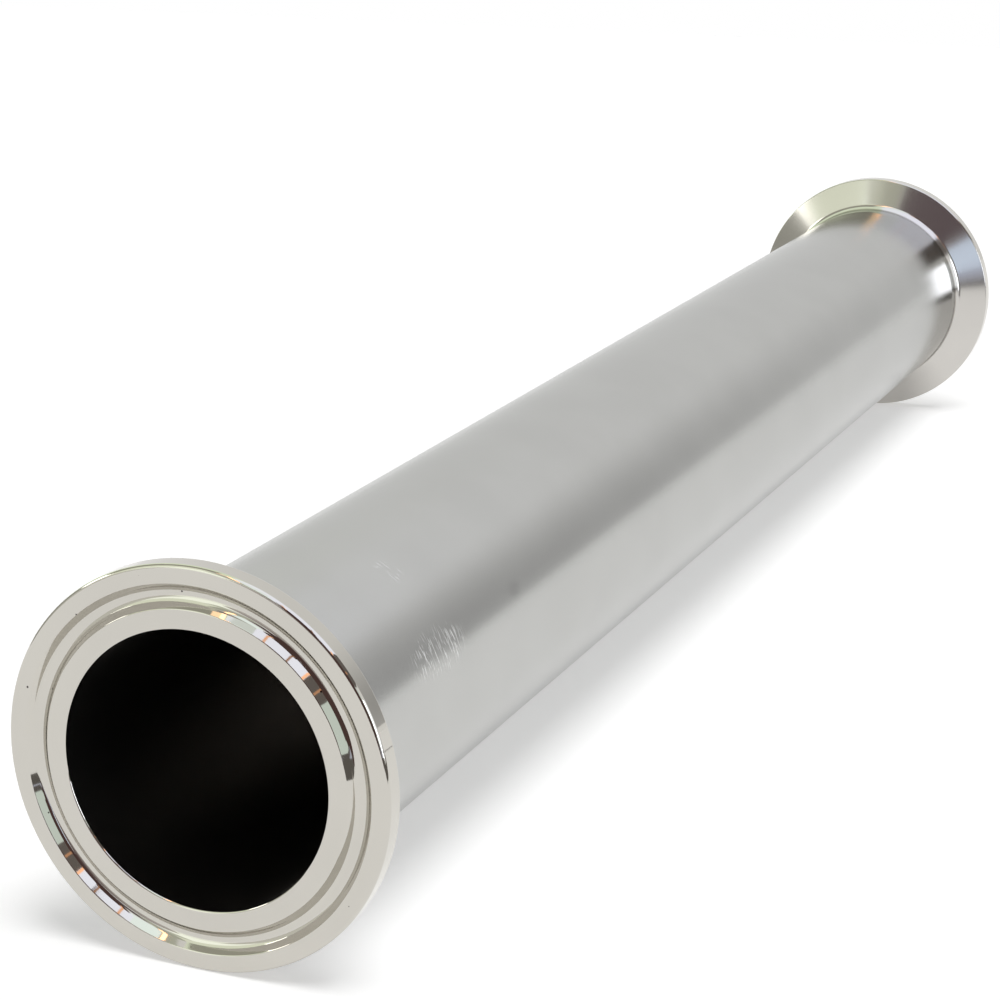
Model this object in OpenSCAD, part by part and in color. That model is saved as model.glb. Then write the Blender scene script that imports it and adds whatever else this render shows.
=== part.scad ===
// Sanitary spool pipe: a straight length of stainless tube with a clamp ferrule
// butt-welded to each end. The spool stands on its lower sealing face, with +Z along
// the bore and the origin at the centre of that face. Millimetres.

/* [Spool] */
// Overall length, sealing face to sealing face
spool_length = 304.8; // [120:0.1:600]
// Outside diameter of the tube and of the ferrule necks
tube_od = 38.1; // [37:0.05:39.5]
// Wall thickness of the tube and of the ferrule necks
tube_wall = 1.65; // [1.2:0.05:2.1]

/* [Clamp ferrules] */
// Length of a ferrule, sealing face to the joint line with the tube
ferrule_length = 28.6; // [18:0.1:45]
// How far the clamp flange stands out past the neck, all round
flange_overhang = 6.2; // [5.8:0.1:8]
// Width of the flange's straight rim, before its corners are rounded
rim_width = 2.85; // [2.4:0.05:4]
// Angle of the wedge face that the clamp bears on, from square
wedge_angle = 20; // [12:1:28]
// Radius where the wedge face runs into the neck
neck_fillet = 1.6; // [0.8:0.1:4]
// Radius on the rim's front corner
front_corner = 0.5; // [0.1:0.05:0.8]
// Radius on the rim's back corner
back_corner = 0.3; // [0.1:0.05:0.8]
// Radius at the mouth of the bore
bore_mouth = 0.3; // [0.05:0.05:0.5]

/* [Gasket groove] */
// Distance of the groove's pitch line inside the rim
groove_inset = 3.8; // [3.2:0.05:4]
// Width of the groove at the sealing face, lips included
groove_width = 3.25; // [2.8:0.05:3.6]
// Depth of the groove below the sealing face
groove_depth = 1.2; // [0.9:0.05:1.4]
// Slope of the groove's straight walls, from the sealing face
groove_slope = 52; // [48:1:60]
// Radius on each lip of the groove
groove_lip = 0.2; // [0.1:0.05:0.3]

/* [Welds] */
// Width of the fused seam along the tube, half each side of the joint line
weld_width = 2.4; // [1.2:0.1:5]

/* [Hidden] */
$fn = 72;

tube_r = tube_od / 2;
bore_r = tube_r - tube_wall;
flange_r = tube_r + flange_overhang;
groove_r = flange_r - groove_inset;
weld_start = ferrule_length - weld_width / 2;
weld_end = ferrule_length + weld_width / 2;
cut_over = 1;                                    // how far a cutter runs past a face

// Points along an arc, turning from one angle to another
function arc(centre, radius, from, to, steps) =
    [for (i = [0:steps]) let (a = from + (to - from) * i / steps) centre + radius * [cos(a), sin(a)]];

// The groove's round bottom is tangent to both walls
groove_half = groove_width / 2;
groove_bottom = (groove_half * sin(groove_slope) - groove_depth * cos(groove_slope)) / (1 - cos(groove_slope))
    - groove_lip;

// The rim's back corner and the neck fillet are both tangent to the wedge face
wedge_normal = 90 - wedge_angle;
back_corner_z = rim_width - back_corner * tan(wedge_normal / 2);
neck_fillet_z = rim_width
    + (neck_fillet - (tube_r + neck_fillet - flange_r) * sin(wedge_angle)) / cos(wedge_angle);

// Half section of a ferrule: x is the radius, y the height above the sealing face
ferrule_section = concat(
    arc([bore_r + bore_mouth, bore_mouth], bore_mouth, 180, 270, 3),
    arc([groove_r - groove_half, groove_lip], groove_lip, 270, 270 + groove_slope, 3),
    arc([groove_r, groove_depth - groove_bottom], groove_bottom, 90 + groove_slope, 90 - groove_slope, 10),
    arc([groove_r + groove_half, groove_lip], groove_lip, 270 - groove_slope, 270, 3),
    arc([flange_r - front_corner, front_corner], front_corner, 270, 360, 4),
    arc([flange_r - back_corner, back_corner_z], back_corner, 0, wedge_normal, 3),
    arc([tube_r + neck_fillet, neck_fillet_z], neck_fillet, 180 + wedge_normal, 180, 6),
    [[tube_r, weld_start], [bore_r, weld_start]]
);

// A plain ring of the tube's own section
module pipe_ring(length) {
    difference() {
        cylinder(h = length, r = tube_r);
        translate([0, 0, -cut_over]) cylinder(h = length + 2 * cut_over, r = bore_r);
    }
}

module ferrule() {
    rotate_extrude() polygon(ferrule_section);
}

module weld() {
    translate([0, 0, weld_start]) pipe_ring(weld_width);
}

// What is built on the lower end, turned over onto the upper end
module at_upper_end() {
    translate([0, 0, spool_length]) mirror([0, 0, 1]) children();
}

module tube() {
    color("silver") translate([0, 0, weld_end]) pipe_ring(spool_length - 2 * weld_end);
}

module upper_ferrule() {
    color("gainsboro") at_upper_end() ferrule();
}

module lower_ferrule() {
    color("gainsboro") ferrule();
}

module upper_weld() {
    color("darkgray") at_upper_end() weld();
}

module lower_weld() {
    color("darkgray") weld();
}

tube();
upper_ferrule();
lower_ferrule();
upper_weld();
lower_weld();
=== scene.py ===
import math

import bpy
from mathutils import Matrix, Vector


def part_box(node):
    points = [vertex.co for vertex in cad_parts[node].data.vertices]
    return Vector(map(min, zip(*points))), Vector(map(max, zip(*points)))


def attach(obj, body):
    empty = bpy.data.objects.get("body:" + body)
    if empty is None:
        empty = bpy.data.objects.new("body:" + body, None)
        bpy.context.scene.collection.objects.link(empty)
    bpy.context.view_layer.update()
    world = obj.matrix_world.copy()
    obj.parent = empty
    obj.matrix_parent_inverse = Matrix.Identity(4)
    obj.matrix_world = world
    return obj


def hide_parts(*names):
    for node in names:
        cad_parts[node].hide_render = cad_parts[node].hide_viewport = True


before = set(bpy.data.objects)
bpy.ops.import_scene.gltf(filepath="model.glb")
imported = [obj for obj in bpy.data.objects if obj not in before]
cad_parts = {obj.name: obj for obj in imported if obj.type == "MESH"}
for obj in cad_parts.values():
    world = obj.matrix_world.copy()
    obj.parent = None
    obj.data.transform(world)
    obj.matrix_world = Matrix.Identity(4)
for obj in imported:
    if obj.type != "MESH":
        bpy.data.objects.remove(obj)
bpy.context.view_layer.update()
mm = 0.001

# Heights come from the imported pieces, so the new meshes meet where the old ones do
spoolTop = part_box("upper_ferrule")[1].z
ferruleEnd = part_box("lower_ferrule")[1].z
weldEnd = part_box("lower_weld")[1].z
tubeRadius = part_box("tube")[1].x
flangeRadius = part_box("lower_ferrule")[1].x
upFromTable = Vector((0, -1, 0))  # the pipe lies down, with its flanges on a table at the +Y side
print("frame loaded: spool", round(spoolTop / mm, 1), "mm long")


spinSetup = {
    "steps": 256,
    "sharpAngle": 35,
    "hold": 0.02 * mm,  # how near its ends a straight run is held flat
    "touching": 0.001 * mm,  # points nearer than this are one point
}


def arc(centre, radius, start, end, steps):
    points = []
    for i in range(steps + 1):
        angle = math.radians(start + (end - start) * i / steps)
        points.append((centre[0] + radius * math.cos(angle), centre[1] + radius * math.sin(angle)))
    return points


def holdStraights(points):
    # a point just inside each end of a straight run keeps the shading flat between them
    hold = spinSetup["hold"]
    shortRun = 6 * hold
    out = []
    for here, there in zip(points, points[1:] + points[:1]):
        a, b = Vector(here), Vector(there)
        out.append(tuple(a))
        if (b - a).length > shortRun:
            step = (b - a).normalized() * hold
            out.append(tuple(a + step))
            out.append(tuple(b - step))
    return out


def spinSection(name, points):
    # one point is pulled along the section's outline, which is closed and spun round Z
    bpy.ops.object.select_all(action="DESELECT")
    bpy.ops.mesh.primitive_plane_add(size=2 * mm, location=(0, 0, 0))
    piece = bpy.context.active_object
    piece.name = name
    bpy.ops.object.mode_set(mode="EDIT")
    bpy.ops.mesh.merge(type="CENTER")
    bpy.ops.transform.translate(value=(points[0][0], 0, points[0][1]))
    for here, there in zip(points, points[1:]):
        move = (there[0] - here[0], 0, there[1] - here[1])
        bpy.ops.mesh.extrude_region_move(TRANSFORM_OT_translate={"value": move})
    bpy.ops.mesh.select_all(action="DESELECT")
    bpy.ops.object.mode_set(mode="OBJECT")
    ends = [Vector((radius, 0, height)) for radius, height in (points[0], points[-1])]
    for vertex in piece.data.vertices:
        vertex.select = min((vertex.co - end).length for end in ends) < spinSetup["touching"]
    bpy.ops.object.mode_set(mode="EDIT")
    bpy.ops.mesh.edge_face_add()
    bpy.ops.mesh.select_all(action="SELECT")
    bpy.ops.mesh.spin(steps=spinSetup["steps"], angle=2 * math.pi, center=(0, 0, 0), axis=(0, 0, 1))
    bpy.ops.mesh.select_all(action="SELECT")
    bpy.ops.mesh.remove_doubles(threshold=spinSetup["touching"])
    bpy.ops.mesh.normals_make_consistent(inside=False)
    bpy.ops.object.mode_set(mode="OBJECT")
    bpy.ops.object.transform_apply(location=True, rotation=True, scale=True)
    bpy.ops.object.shade_smooth_by_angle(angle=math.radians(spinSetup["sharpAngle"]))
    return piece


ferruleSizes = {
    "wall": 1.65 * mm,
    "rimWidth": 2.85 * mm,
    "wedgeAngle": 20,
    "neckFillet": 1.6 * mm,
    "frontCorner": 0.5 * mm,
    "backCorner": 0.3 * mm,
    "boreMouth": 0.3 * mm,
    "grooveInset": 3.8 * mm,
    "grooveWidth": 3.25 * mm,
    "grooveDepth": 1.2 * mm,
    "grooveWall": 52,
    "grooveLip": 0.2 * mm,
    "arcSteps": {"mouth": 6, "lip": 10, "floor": 40, "front": 12, "back": 8, "fillet": 16},
}
boreRadius = tubeRadius - ferruleSizes["wall"]


def ferruleSection(sizes):
    steps = sizes["arcSteps"]
    grooveAt = flangeRadius - sizes["grooveInset"]
    lip, half, depth = sizes["grooveLip"], sizes["grooveWidth"] / 2, sizes["grooveDepth"]
    wallTurn = sizes["grooveWall"]
    wall = math.radians(wallTurn)
    floor = (half * math.sin(wall) - depth * math.cos(wall)) / (1 - math.cos(wall)) - lip
    front, back, mouth = sizes["frontCorner"], sizes["backCorner"], sizes["boreMouth"]
    wedge = math.radians(sizes["wedgeAngle"])
    wedgeNormal = 90 - sizes["wedgeAngle"]
    backZ = sizes["rimWidth"] - back * math.tan(math.radians(wedgeNormal / 2))
    fillet = sizes["neckFillet"]
    filletX = tubeRadius + fillet
    filletZ = sizes["rimWidth"] + (fillet - (filletX - flangeRadius) * math.sin(wedge)) / math.cos(wedge)
    outline = arc((boreRadius + mouth, mouth), mouth, 180, 270, steps["mouth"])
    outline += arc((grooveAt - half, lip), lip, 270, 270 + wallTurn, steps["lip"])
    outline += arc((grooveAt, depth - floor), floor, 90 + wallTurn, 90 - wallTurn, steps["floor"])
    outline += arc((grooveAt + half, lip), lip, 270 - wallTurn, 270, steps["lip"])
    outline += arc((flangeRadius - front, front), front, 270, 360, steps["front"])
    outline += arc((flangeRadius - back, backZ), back, 0, wedgeNormal, steps["back"])
    outline += arc((filletX, filletZ), fillet, 180 + wedgeNormal, 180, steps["fillet"])
    outline += [(tubeRadius, ferruleEnd), (boreRadius, ferruleEnd)]
    return holdStraights(outline)


def turnOver(section):
    return [(radius, spoolTop - height) for radius, height in section]


def ringSection(low, high):
    return holdStraights([(tubeRadius, low), (tubeRadius, high), (boreRadius, high), (boreRadius, low)])


lowerFerrule = spinSection("lowerFerrule", ferruleSection(ferruleSizes))
upperFerrule = spinSection("upperFerrule", turnOver(ferruleSection(ferruleSizes)))
tube = spinSection("satinTube", ringSection(weldEnd, spoolTop - weldEnd))
lowerWeld = spinSection("lowerWeld", ringSection(ferruleEnd, weldEnd))
upperWeld = spinSection("upperWeld", ringSection(spoolTop - weldEnd, spoolTop - ferruleEnd))
for piece, node in ((lowerFerrule, "lower_ferrule"), (upperFerrule, "upper_ferrule"), (tube, "tube"),
                    (lowerWeld, "lower_weld"), (upperWeld, "upper_weld")):
    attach(piece, "root")
    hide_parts(node)
print("pieces spun")


# Place and aim are counted from the middle of the upper sealing face
cameraSetup = {
    "place": (-139.4 * mm, -112.3 * mm, 235.7 * mm),
    "aim": (11.7 * mm, 0, -118.1 * mm),
    "lens": 90.5,
    "clipStart": 10 * mm,
}


def addCamera(setup):
    top = Vector((0, 0, spoolTop))
    place = top + Vector(setup["place"])
    back = (place - (top + Vector(setup["aim"]))).normalized()
    side = upFromTable.cross(back).normalized()
    turn = Matrix((side, back.cross(side), back)).transposed()
    camera = bpy.data.objects.new("camera", bpy.data.cameras.new("camera"))
    camera.data.lens = setup["lens"]
    camera.data.clip_start = setup["clipStart"]
    camera.matrix_world = Matrix.Translation(place) @ turn.to_4x4()
    bpy.context.scene.collection.objects.link(camera)
    bpy.context.scene.camera = camera


addCamera(cameraSetup)
bpy.context.scene.view_settings.view_transform = "Standard"
print("camera set")


# tone is the steel's colour face on and edge its level at a glancing angle; lines is how many turned
# lines there are in a metre and turning how deep they are; darkest is how far the clouds darken it
finishes = {
    "satin": {"tone": (0.53, 0.53, 0.512), "edge": 0.80, "rough": 0.20,
              "lines": 9000.0, "turning": 0.06, "pits": 0.0, "darkest": 0.965},
    "polished": {"tone": (0.58, 0.56, 0.512), "edge": 1.0, "rough": 0.05,
                 "lines": 9000.0, "turning": 0.05, "pits": 1.0, "darkest": 0.965},
    "back": {"tone": (0.57, 0.55, 0.52), "edge": 1.0, "rough": 0.13,
             "lines": 9000.0, "turning": 0.08, "pits": 0.0, "darkest": 0.965},
    # the bore's tone is darker than the outside's: painted shade inside the pipe
    "bore": {"tone": (0.44, 0.42, 0.40), "edge": 1.0, "rough": 0.22,
             "lines": 2600.0, "turning": 1.0, "pits": 0.35, "darkest": 0.975},
}
black = (0, 0, 0, 1)


class Nodes:
    def __init__(self, tree):
        self.tree = tree

    def add(self, kind, values=None, **settings):
        node = self.tree.nodes.new(kind)
        for key, value in settings.items():
            setattr(node, key, value)
        for key, value in (values or {}).items():
            if isinstance(value, bpy.types.NodeSocket):
                self.tree.links.new(value, node.inputs[key])
            else:
                node.inputs[key].default_value = value
        return node

    def math(self, operation, first, second=0.0, third=0.0, clamp=False):
        return self.add("ShaderNodeMath", {0: first, 1: second, 2: third},
                        operation=operation, use_clamp=clamp).outputs[0]

    def vectorMath(self, operation, first, second=(0, 0, 0), output="Vector"):
        return self.add("ShaderNodeVectorMath", {0: first, 1: second}, operation=operation).outputs[output]

    def ramp(self, value, low, high, start=0.0, end=1.0):
        return self.add("ShaderNodeMapRange", {0: value, 1: low, 2: high, 3: start, 4: end},
                        interpolation_type="SMOOTHSTEP").outputs[0]

    def mix(self, factor, first, second):
        return self.add("ShaderNodeMix", {"Factor": factor, "A": first, "B": second},
                        data_type="RGBA").outputs["Result"]

    def noise(self, vector, scale, detail, roughness=0.5):
        return self.add("ShaderNodeTexNoise", {"Vector": vector, "Scale": scale, "Detail": detail,
                                               "Roughness": roughness}).outputs["Fac"]

    def place(self):
        return self.add("ShaderNodeTexCoord").outputs["Object"]

    def split(self, vector):
        return self.add("ShaderNodeSeparateXYZ", {0: vector}).outputs

    def combine(self, x, y, z):
        return self.add("ShaderNodeCombineXYZ", {0: x, 1: y, 2: z}).outputs[0]

    def group(self, group, *values):
        return self.add("ShaderNodeGroup", dict(enumerate(values)), node_tree=group).outputs

    def join(self, source, target):
        self.tree.links.new(source, target)


def newGroup(name, inputs, outputs):
    group = bpy.data.node_groups.new(name, "ShaderNodeTree")
    for label, kind, value in inputs:
        group.interface.new_socket(label, in_out="INPUT", socket_type=kind).default_value = value
    for label, kind in outputs:
        group.interface.new_socket(label, in_out="OUTPUT", socket_type=kind)
    nodes = Nodes(group)
    return group, nodes, nodes.add("NodeGroupInput").outputs, nodes.add("NodeGroupOutput").inputs


def turnedLines():
    # fine lathe and polishing lines: they change along the section and hardly round it
    roundThePipe = 40.0
    group, nodes, given, out = newGroup(
        "turnedLines", [("Lines per Metre", "NodeSocketFloat", 4000.0)], [("Height", "NodeSocketFloat")])
    parts = nodes.split(nodes.place())
    squares = nodes.math("ADD", nodes.math("MULTIPLY", parts[0], parts[0]),
                         nodes.math("MULTIPLY", parts[1], parts[1]))
    along = nodes.math("ADD", nodes.math("SQRT", squares), parts[2])
    spot = nodes.combine(nodes.math("MULTIPLY", parts[0], roundThePipe),
                         nodes.math("MULTIPLY", parts[1], roundThePipe),
                         nodes.math("MULTIPLY", along, given[0]))
    nodes.join(nodes.noise(spot, 1.0, 3.0, 0.6), out[0])
    return group


grainScales = {"clouds": 70.0, "sparkle": 2600.0, "cloudsFrom": 0.3, "cloudsTo": 0.7, "spread": 0.35}


def steelGrain(scales):
    # broad clouds that darken the steel a little, and a fine sparkle for its roughness
    group, nodes, given, out = newGroup(
        "steelGrain", [("Darkest", "NodeSocketFloat", 0.965)],
        [("Shade", "NodeSocketFloat"), ("Sparkle", "NodeSocketFloat")])
    place = nodes.place()
    cloud = nodes.noise(place, scales["clouds"], 4.0)
    speck = nodes.noise(place, scales["sparkle"], 2.0)
    nodes.join(nodes.ramp(cloud, scales["cloudsFrom"], scales["cloudsTo"], given[0], 1.0), out[0])
    nodes.join(nodes.math("MULTIPLY_ADD", speck, scales["spread"], 1 - scales["spread"] / 2), out[1])
    return group


# the pinholes are real, and their near-black colour is painted shade in the holes
pitsAndShadeSetup = {"scale": 420.0, "largest": 0.07, "colour": (0.05, 0.04, 0.04, 1)}


def tinyPits(setup):
    # a few pinholes, the widest a third of a millimetre across
    group, nodes, given, out = newGroup(
        "tinyPits", [("Share", "NodeSocketFloat", 0.5)], [("Mask", "NodeSocketFloat")])
    cell = nodes.add("ShaderNodeTexVoronoi", {"Vector": nodes.place(), "Scale": setup["scale"],
                                              "Randomness": 1.0}).outputs
    random = nodes.split(cell["Color"])
    dot = nodes.math("LESS_THAN", cell["Distance"], nodes.math("MULTIPLY", random[1], setup["largest"]))
    nodes.join(nodes.math("MULTIPLY", dot, nodes.math("LESS_THAN", random[0], given[0])), out[0])
    return group


def nearPoint():
    # one at a point on the pipe, falling to nothing at its reach round the pipe and along it
    group, nodes, given, out = newGroup(
        "nearPoint", [("Centre", "NodeSocketVector", (0, 0, 0)), ("Round Reach", "NodeSocketFloat", 3 * mm),
                      ("Long Reach", "NodeSocketFloat", 6 * mm)], [("Mask", "NodeSocketFloat")])
    away = nodes.vectorMath("SUBTRACT", nodes.place(), given[0])
    away = nodes.vectorMath("DIVIDE", away, nodes.combine(given[1], given[1], given[2]))
    far = nodes.vectorMath("LENGTH", away, output="Value")
    nodes.join(nodes.math("SUBTRACT", 1.0, far, clamp=True), out[0])
    return group


scratchSetup = {
    "patches": 420.0, "patchLift": 0.35, "bare": 0.12, "scratched": 0.5,
    "across": 420.0, "along": 4600.0, "tiltAndShift": ((0.10, 0.0), (-0.16, 3.0)),
    "faint": 0.61, "bright": 0.73,
}


def handScratches(setup):
    # short marks across the pipe, in loose clusters inside a mask; the tube roughens and raises them, and
    # paints them lighter as a painted highlight
    group, nodes, given, out = newGroup(
        "handScratches", [("Near", "NodeSocketFloat", 0.0), ("Density", "NodeSocketFloat", 0.5)],
        [("Mask", "NodeSocketFloat")])
    place = nodes.place()
    parts = nodes.split(place)
    uneven = nodes.math("ADD", nodes.noise(place, setup["patches"], 2.0), setup["patchLift"])
    near = nodes.ramp(nodes.math("MULTIPLY", given[0], uneven), setup["bare"], setup["scratched"])
    strokes = []
    for tilt, shift in setup["tiltAndShift"]:
        slanted = nodes.math("ADD", parts[2], nodes.math("MULTIPLY", parts[1], tilt))
        spot = nodes.combine(nodes.math("MULTIPLY", parts[0], setup["across"]),
                             nodes.math("MULTIPLY", parts[1], setup["across"]),
                             nodes.math("MULTIPLY_ADD", slanted, setup["along"], shift))
        strokes.append(nodes.ramp(nodes.noise(spot, 1.0, 1.0), setup["faint"], setup["bright"]))
    marks = nodes.math("MULTIPLY", nodes.math("MAXIMUM", *strokes), near)
    nodes.join(nodes.math("MULTIPLY", marks, given[1], clamp=True), out[0])
    return group


lineGroup = turnedLines()
grainGroup = steelGrain(grainScales)
pitGroup = tinyPits(pitsAndShadeSetup)
pointGroup = nearPoint()
scratchGroup = handScratches(scratchSetup)

# The satin is smoother beside the lower flange. The scratches lie near the upper one: centre, reach
# round the pipe, reach along it and density
tubeMarks = {
    "smoothest": 0.45, "smoothTo": 6 * mm, "satinFrom": 24 * mm,
    "scratches": (
        ((-17.4 * mm, -7.4 * mm, spoolTop - 30.6 * mm), 4.2 * mm, 10.5 * mm, 0.95),
        ((-9.8 * mm, -16.3 * mm, spoolTop - 32.3 * mm), 2.8 * mm, 3.0 * mm, 0.5),
    ),
    # the scratches are painted lighter than the steel, a painted highlight; their roughness and height are
    # real
    "scratchHighlightColour": (0.92, 0.92, 0.90, 1), "scratchRough": 0.25, "scratchHeight": 0.8,
    "smudge": ((-17.3 * mm, -8.0 * mm, spoolTop - 55.0 * mm), 1.6 * mm, 2.8 * mm),
    "smudgeEven": 0.8, "smudgeShade": 0.10,
}
bumpSetup = {"strength": 0.5, "height": 0.01 * mm}


def addTubeMarks(nodes, marked, colour, rough, height):
    share = nodes.ramp(nodes.split(nodes.place())[2], marked["smoothTo"], marked["satinFrom"],
                       marked["smoothest"], 1.0)
    rough = nodes.math("MULTIPLY", rough, share)
    for *area, density in marked["scratches"]:
        marks = nodes.group(scratchGroup, nodes.group(pointGroup, *area)[0], density)[0]
        # painted highlight: the scratches are painted lighter than the steel
        colour = nodes.mix(marks, colour, marked["scratchHighlightColour"])
        rough = nodes.math("MULTIPLY_ADD", marks, marked["scratchRough"], rough, clamp=True)
        height = nodes.math("MULTIPLY_ADD", marks, marked["scratchHeight"], height)
    smudge = nodes.ramp(nodes.group(pointGroup, *marked["smudge"])[0], 0.0, marked["smudgeEven"],
                        0.0, marked["smudgeShade"])
    return nodes.mix(smudge, colour, black), rough, height


def steel(name, finish, marked=None):
    material = bpy.data.materials.new(name)
    material.use_nodes = True
    nodes = Nodes(material.node_tree)
    shader = material.node_tree.nodes["Principled BSDF"]
    shader.inputs["Metallic"].default_value = 1.0
    shader.inputs["Specular Tint"].default_value = (finish["edge"],) * 3 + (1,)
    shade, sparkle = nodes.group(grainGroup, finish["darkest"])
    colour = nodes.mix(shade, black, finish["tone"] + (1,))
    rough = nodes.math("MULTIPLY", sparkle, finish["rough"])
    height = nodes.math("MULTIPLY", nodes.group(lineGroup, finish["lines"])[0], finish["turning"])
    if finish["pits"]:
        # painted shade: the pinholes are painted near-black
        colour = nodes.mix(nodes.group(pitGroup, finish["pits"])[0], colour, pitsAndShadeSetup["colour"])
    if marked:
        colour, rough, height = addTubeMarks(nodes, marked, colour, rough, height)
    bump = nodes.add("ShaderNodeBump", {"Strength": bumpSetup["strength"], "Distance": bumpSetup["height"],
                                        "Height": height}).outputs[0]
    nodes.join(colour, shader.inputs["Base Color"])
    nodes.join(rough, shader.inputs["Roughness"])
    nodes.join(bump, shader.inputs["Normal"])
    return material


satin = steel("satinSteel", finishes["satin"], tubeMarks)
polished = steel("polishedSteel", finishes["polished"])
backSteel = steel("backSteel", finishes["back"])
# painted shade: the bore's steel is darker than the outside's
shadedBoreSteel = steel("shadedBoreSteel", finishes["bore"])


def dress(piece, outer):
    # each face takes its finish from where it is: bore, straight outside, back of a flange or the rest
    for material in (outer, shadedBoreSteel, satin, backSteel):
        piece.data.materials.append(material)
    outerSlot, boreSlot, satinSlot, backSlot = range(4)
    slack = 0.05 * mm
    neckFrom = 4 * mm
    for face in piece.data.polygons:
        middle = face.center
        radius, depth = math.hypot(middle.x, middle.y), min(middle.z, spoolTop - middle.z)
        if radius < boreRadius + slack and depth > ferruleSizes["boreMouth"]:
            face.material_index = boreSlot
        elif radius < tubeRadius + slack and depth > neckFrom:
            face.material_index = satinSlot
        elif depth > ferruleSizes["rimWidth"] - 2 * slack:
            face.material_index = backSlot
        else:
            face.material_index = outerSlot


dress(tube, satin)
dress(lowerFerrule, polished)
dress(upperFerrule, polished)
dress(lowerWeld, satin)
dress(upperWeld, satin)
print("materials done")


def hideFromAllBut(thing, *kinds):
    for kind in ("camera", "diffuse", "glossy", "transmission", "volume_scatter", "shadow"):
        setattr(thing, "visible_" + kind, kind in kinds)


def glow(name, colour):
    material = bpy.data.materials.new(name)
    material.use_nodes = True
    material.node_tree.nodes.clear()
    nodes = Nodes(material.node_tree)
    light = nodes.add("ShaderNodeEmission", {"Color": colour + (1,)}).outputs[0]
    nodes.add("ShaderNodeOutputMaterial", {"Surface": light})
    return material


def addPlane(name, centre, across, upward, size, material):
    bpy.ops.mesh.primitive_plane_add(size=1, location=(0, 0, 0))
    plane = bpy.context.active_object
    plane.name = name
    side, up = Vector(across).normalized(), Vector(upward).normalized()
    turn = Matrix((side, up, side.cross(up))).transposed().to_4x4()
    plane.matrix_world = Matrix.Translation(centre) @ turn @ Matrix.Diagonal((size[0], size[1], 1, 1))
    plane.data.materials.append(material)
    return plane


# Long soft panels round the pipe, seen only in its polish. Angles are in degrees from -X towards -Y,
# so that zero is level with the pipe's axis and 90 is straight over it; low and high are on Z
panels = {
    "darkSkirting": {"from": -3, "to": 0.5, "low": -0.45, "high": 0.75, "colour": (0.145, 0.13, 0.125)},
    "greenPanel": {"from": 0.5, "to": 29, "low": 0.47, "high": 0.75, "colour": (0.84, 0.95, 0.90)},
    "lowWindow": {"from": 0.5, "to": 22, "low": -0.20, "high": 0.37, "colour": (1.35, 1.42, 1.50)},
    "darkBar": {"from": 29, "to": 45.5, "low": -0.45, "high": 0.75, "colour": (0.18, 0.16, 0.15)},
    "lilacPanel": {"from": 45.5, "to": 82, "low": -0.45, "high": 0.75, "colour": (1.35, 1.40, 1.62)},
    "lilacEnd": {"from": 82, "to": 98, "low": -0.45, "high": 0.44, "colour": (1.35, 1.42, 1.56)},
    "mintPanel": {"from": 82, "to": 98, "low": 0.44, "high": 0.50, "colour": (0.98, 1.06, 1.04)},
    "mintTop": {"from": 82, "to": 98, "low": 0.50, "high": 0.80, "colour": (1.30, 1.46, 1.46)},
    "limePanel": {"from": 98, "to": 172, "low": -0.45, "high": 0.50, "colour": (1.05, 1.18, 0.92)},
    "limeShade": {"from": 98, "to": 111, "low": 0.50, "high": 1.50, "colour": (0.60, 0.62, 0.52)},
    "limeLamp": {"from": 111, "to": 158, "low": 0.50, "high": 0.84, "colour": (1.10, 1.16, 0.97)},
    "limeWall": {"from": 111, "to": 122, "low": 0.84, "high": 1.10, "colour": (0.76, 0.80, 0.66)},
    "paleWall": {"from": 122, "to": 158, "low": 0.84, "high": 1.80, "colour": (1.52, 1.60, 1.45)},
    "paleEnd": {"from": 158, "to": 182, "low": 1.25, "high": 1.95, "colour": (1.32, 1.38, 1.25)},
    "endShade": {"from": 158, "to": 182, "low": 0.52, "high": 1.25, "colour": (0.80, 0.80, 0.74)},
    "endWall": {"from": 160, "to": 182, "low": 0.05, "high": 0.52, "colour": (0.42, 0.42, 0.38)},
    "blueDusk": {"from": -15, "to": 3, "low": 1.05, "high": 1.6, "colour": (0.54, 0.58, 0.74)},
    "blueSky": {"from": 3, "to": 30, "low": 1.05, "high": 1.6, "colour": (0.96, 1.12, 1.38)},
    "darkRoom": {"from": 30, "to": 97, "low": 1.00, "high": 1.6, "colour": (0.16, 0.125, 0.135)},
}
# these stand a little nearer, in front of the others
nearPanels = {
    "window": {"from": -3, "to": 23, "low": 0.26, "high": 0.452, "colour": (4.4, 4.6, 5.1)},
    "amberStrip": {"from": 99, "to": 106, "low": 0.38, "high": 0.45, "colour": (2.0, 1.35, 0.85)},
    "olivePanel": {"from": 104, "to": 130, "low": 0.10, "high": 0.475, "colour": (0.46, 0.46, 0.39)},
    "oliveCorner": {"from": 130, "to": 150, "low": 0.05, "high": 0.455, "colour": (0.46, 0.46, 0.39)},
    "viewerBody": {"from": -12, "to": 57, "low": 0.653, "high": 1.01, "colour": (0.10, 0.06, 0.055)},
    "viewerRight": {"from": 57, "to": 80, "low": 0.600, "high": 1.01, "colour": (0.10, 0.06, 0.055)},
    "endLight": {"from": 150, "to": 160, "low": 0.32, "high": 0.52, "colour": (4.0, 4.0, 3.8)},
}
warmLamps = {
    "angleAndStrength": ((36, 0.3), (46.5, 0.7), (59, 0.2), (75, 0.5), (100, 2.0)),
    "width": 1.2, "widening": 0.5, "low": 0.40, "high": 0.72, "colour": (2.6, 1.35, 0.75),
}
distances = {"panels": 0.60, "nearPanels": 0.58, "lamps": 0.56}


def addStrip(name, panel, distance):
    middle = math.radians((panel["from"] + panel["to"]) / 2)
    half = math.radians((panel["to"] - panel["from"]) / 2)
    centre = (-distance * math.cos(middle), -distance * math.sin(middle), (panel["low"] + panel["high"]) / 2)
    size = (2 * distance * math.tan(half), panel["high"] - panel["low"])
    strip = addPlane(name, centre, (math.sin(middle), -math.cos(middle), 0), (0, 0, 1), size,
                     glow(name, panel["colour"]))
    hideFromAllBut(strip, "glossy")


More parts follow.
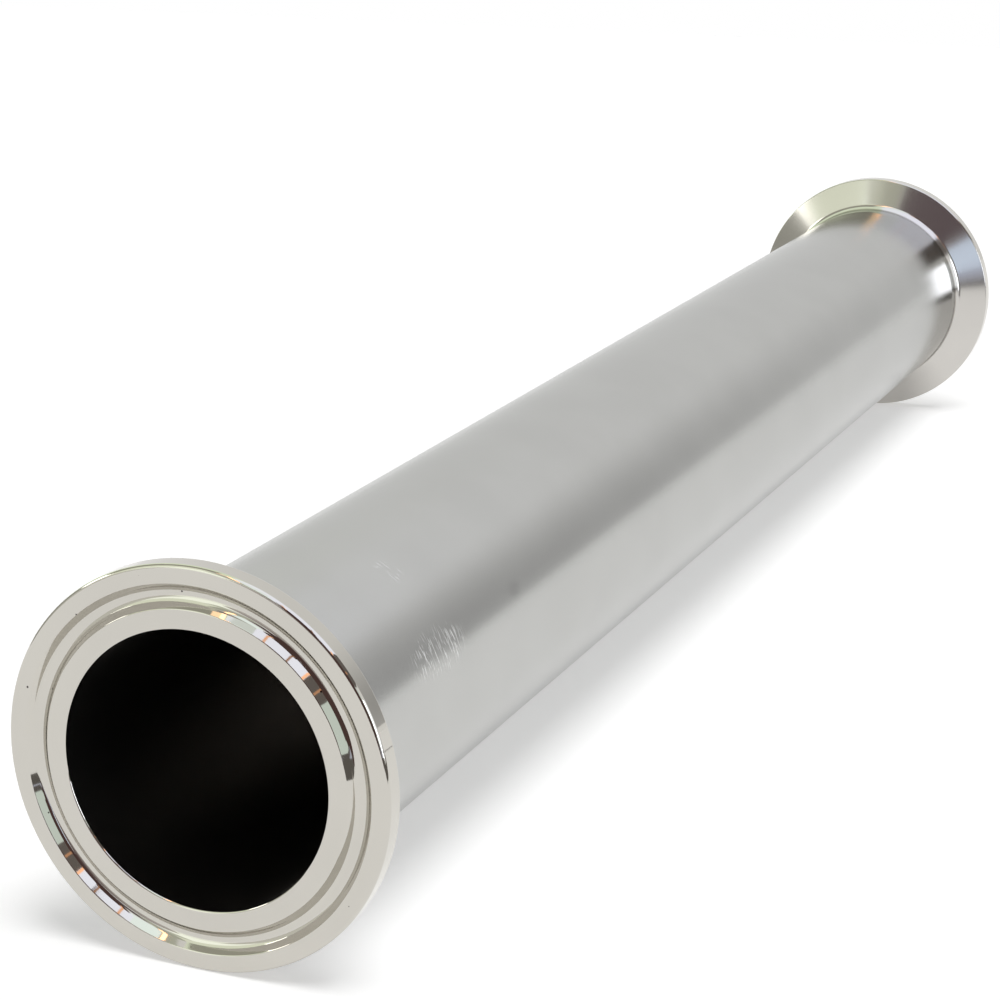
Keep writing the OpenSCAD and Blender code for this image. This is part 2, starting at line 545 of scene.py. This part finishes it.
def addWarmLamps(lamps, distance):
    for i, (angle, strength) in enumerate(lamps["angleAndStrength"]):
        half = lamps["width"] / 2 * (1 + strength * lamps["widening"])
        addStrip("warmLamp" + str(i), {
            "from": angle - half, "to": angle + half, "low": lamps["low"], "high": lamps["high"],
            "colour": tuple(strength * part for part in lamps["colour"]),
        }, distance)


for name, panel in panels.items():
    addStrip(name, panel, distances["panels"])
for name, panel in nearPanels.items():
    addStrip(name, panel, distances["nearPanels"])
addWarmLamps(warmLamps, distances["lamps"])
print("panels stand round the pipe")


# Whoever looks at the upper end is a dark ring past it, open on the pipe's axis
viewer = {
    "height": 0.40, "reach": 0.108, "gap": 0.034, "from": -12, "to": 82, "corners": 96,
    "colour": (0.10, 0.06, 0.055),
}


def addViewer(setup):
    height = setup["height"]
    bpy.ops.mesh.primitive_circle_add(vertices=setup["corners"], radius=setup["reach"], fill_type="NGON",
                                      location=(0, 0, height))
    person = bpy.context.active_object
    person.name = "darkViewer"
    bpy.ops.object.mode_set(mode="EDIT")
    bpy.ops.mesh.inset(thickness=setup["reach"] - setup["gap"], depth=0)
    bpy.ops.mesh.delete(type="ONLY_FACE")
    for angle, side in ((setup["from"], 1), (setup["to"], -1)):
        turn = math.radians(angle)
        bpy.ops.mesh.select_all(action="SELECT")
        bpy.ops.mesh.bisect(plane_co=(0, 0, height), clear_outer=True,
                            plane_no=(-side * math.sin(turn), side * math.cos(turn), 0))
    bpy.ops.object.mode_set(mode="OBJECT")
    person.data.materials.append(glow("darkViewer", setup["colour"]))
    hideFromAllBut(person, "glossy")


# Farther past the upper end, a backdrop fades from light to dark on the viewer's side
ceiling = {
    "height": 1.5, "size": 0.95, "towards": 39, "fadeFrom": -0.66, "fadeTo": 0.60,
    "light": (0.87, 0.84, 0.82), "dark": (0.12, 0.075, 0.07),
}


def addCeiling(setup):
    material = glow("softCeiling", setup["light"])
    nodes = Nodes(material.node_tree)
    turn = math.radians(setup["towards"])
    place = nodes.add("ShaderNodeNewGeometry").outputs["Position"]
    along = nodes.vectorMath("DOT_PRODUCT", place, (-math.cos(turn), -math.sin(turn), 0), "Value")
    gone = nodes.ramp(along, setup["fadeFrom"], setup["fadeTo"])
    colour = nodes.mix(gone, setup["light"] + (1,), setup["dark"] + (1,))
    nodes.join(colour, material.node_tree.nodes["Emission"].inputs["Color"])
    plane = addPlane("softCeiling", (0, 0, setup["height"]), (1, 0, 0), (0, 1, 0),
                     (setup["size"], setup["size"]), material)
    hideFromAllBut(plane, "glossy")


# Past the lower end stands a wall, dim round one spot
dimEnd = {
    "centre": (-0.2, -0.61, -0.6), "size": (1.8, 1.2),
    "dimAt": (-0.56, -0.13, -0.6), "reach": 0.48, "dim": 0.46, "level": 0.93,
}


def addDimEnd(setup):
    material = glow("dimEnd", (1, 1, 1))
    nodes = Nodes(material.node_tree)
    place = nodes.add("ShaderNodeNewGeometry").outputs["Position"]
    far = nodes.vectorMath("DISTANCE", place, setup["dimAt"], "Value")
    level = nodes.ramp(far, 0.0, setup["reach"], setup["dim"], setup["level"])
    nodes.join(level, material.node_tree.nodes["Emission"].inputs["Strength"])
    wall = addPlane("dimEnd", setup["centre"], (1, 0, 0), upFromTable, setup["size"], material)
    hideFromAllBut(wall, "glossy")


addViewer(viewer)
addCeiling(ceiling)
addDimEnd(dimEnd)


# The pipe lies on its rims on a white table parallel to its axis
tableSetup = {"size": (1.8, 1.8), "albedo": 0.80, "glow": 0.38}


def tableMaterial(setup):
    material = bpy.data.materials.new("whiteTable")
    material.use_nodes = True
    material.node_tree.nodes.clear()
    nodes = Nodes(material.node_tree)
    matt = nodes.add("ShaderNodeBsdfDiffuse", {"Color": (setup["albedo"],) * 3 + (1,)}).outputs[0]
    shine = nodes.add("ShaderNodeEmission", {"Color": (1, 1, 1, 1), "Strength": setup["glow"]}).outputs[0]
    lit = nodes.add("ShaderNodeAddShader", {0: matt, 1: shine}).outputs[0]
    clear = nodes.add("ShaderNodeBsdfTransparent").outputs[0]
    behind = nodes.add("ShaderNodeNewGeometry").outputs["Backfacing"]
    seen = nodes.add("ShaderNodeMixShader", {0: behind, 1: lit, 2: clear}).outputs[0]
    nodes.add("ShaderNodeOutputMaterial", {"Surface": seen})
    return material


def addTable(setup):
    addPlane("whiteTable", (0, flangeRadius, spoolTop / 2), (1, 0, 0), (0, 0, 1), setup["size"],
             tableMaterial(setup))


# Darker mats lie on the table at the -X side and are seen only in the pipe: from and to are on X
mats = {
    "darkMat": {"from": -0.13, "to": -0.62, "low": 0.33, "high": 0.49, "colour": (0.15, 0.14, 0.13)},
    "darkStrip": {"from": -0.15, "to": -0.34, "low": 0.10, "high": 0.33, "colour": (0.15, 0.14, 0.13)},
    "greyMat": {"from": -0.13, "to": -0.62, "low": 0.49, "high": 1.40, "colour": (0.54, 0.56, 0.66)},
}
matThickness = 0.3 * mm


def addMat(name, mat):
    middle = ((mat["from"] + mat["to"]) / 2, flangeRadius - matThickness, (mat["low"] + mat["high"]) / 2)
    size = (mat["from"] - mat["to"], mat["high"] - mat["low"])
    laid = addPlane(name, middle, (1, 0, 0), (0, 0, 1), size, glow(name, mat["colour"]))
    hideFromAllBut(laid, "glossy")


addTable(tableSetup)
for name, mat in mats.items():
    addMat(name, mat)


# The world is white to the eye and in the steel, and gives the table only a little light
lightSetup = {"world": 0.25, "key": 1.98, "keyAngle": 34, "toKey": (-0.25, -0.96, 0.15)}


def addWorld(level):
    world = bpy.data.worlds.new("studio")
    bpy.context.scene.world = world
    world.use_nodes = True
    nodes = Nodes(world.node_tree)
    background = world.node_tree.nodes["Background"]
    path = nodes.add("ShaderNodeLightPath").outputs
    mirrored = nodes.math("MAXIMUM", path["Is Glossy Ray"], path["Is Transmission Ray"])
    seen = nodes.math("MAXIMUM", path["Is Camera Ray"], mirrored)
    background.inputs["Color"].default_value = (1, 1, 1, 1)
    nodes.join(nodes.math("MULTIPLY_ADD", seen, 1.0 - level, level), background.inputs["Strength"])


def addKey(strength, angle, towards):
    lamp = bpy.data.lights.new("keyLight", "SUN")
    lamp.energy = strength
    lamp.angle = math.radians(angle)
    thing = bpy.data.objects.new("keyLight", lamp)
    bpy.context.scene.collection.objects.link(thing)
    thing.matrix_world = Vector(towards).to_track_quat("Z", "Y").to_matrix().to_4x4()
    hideFromAllBut(thing, "diffuse", "shadow")


addWorld(lightSetup["world"])
addKey(lightSetup["key"], lightSetup["keyAngle"], lightSetup["toKey"])
print("stage done")
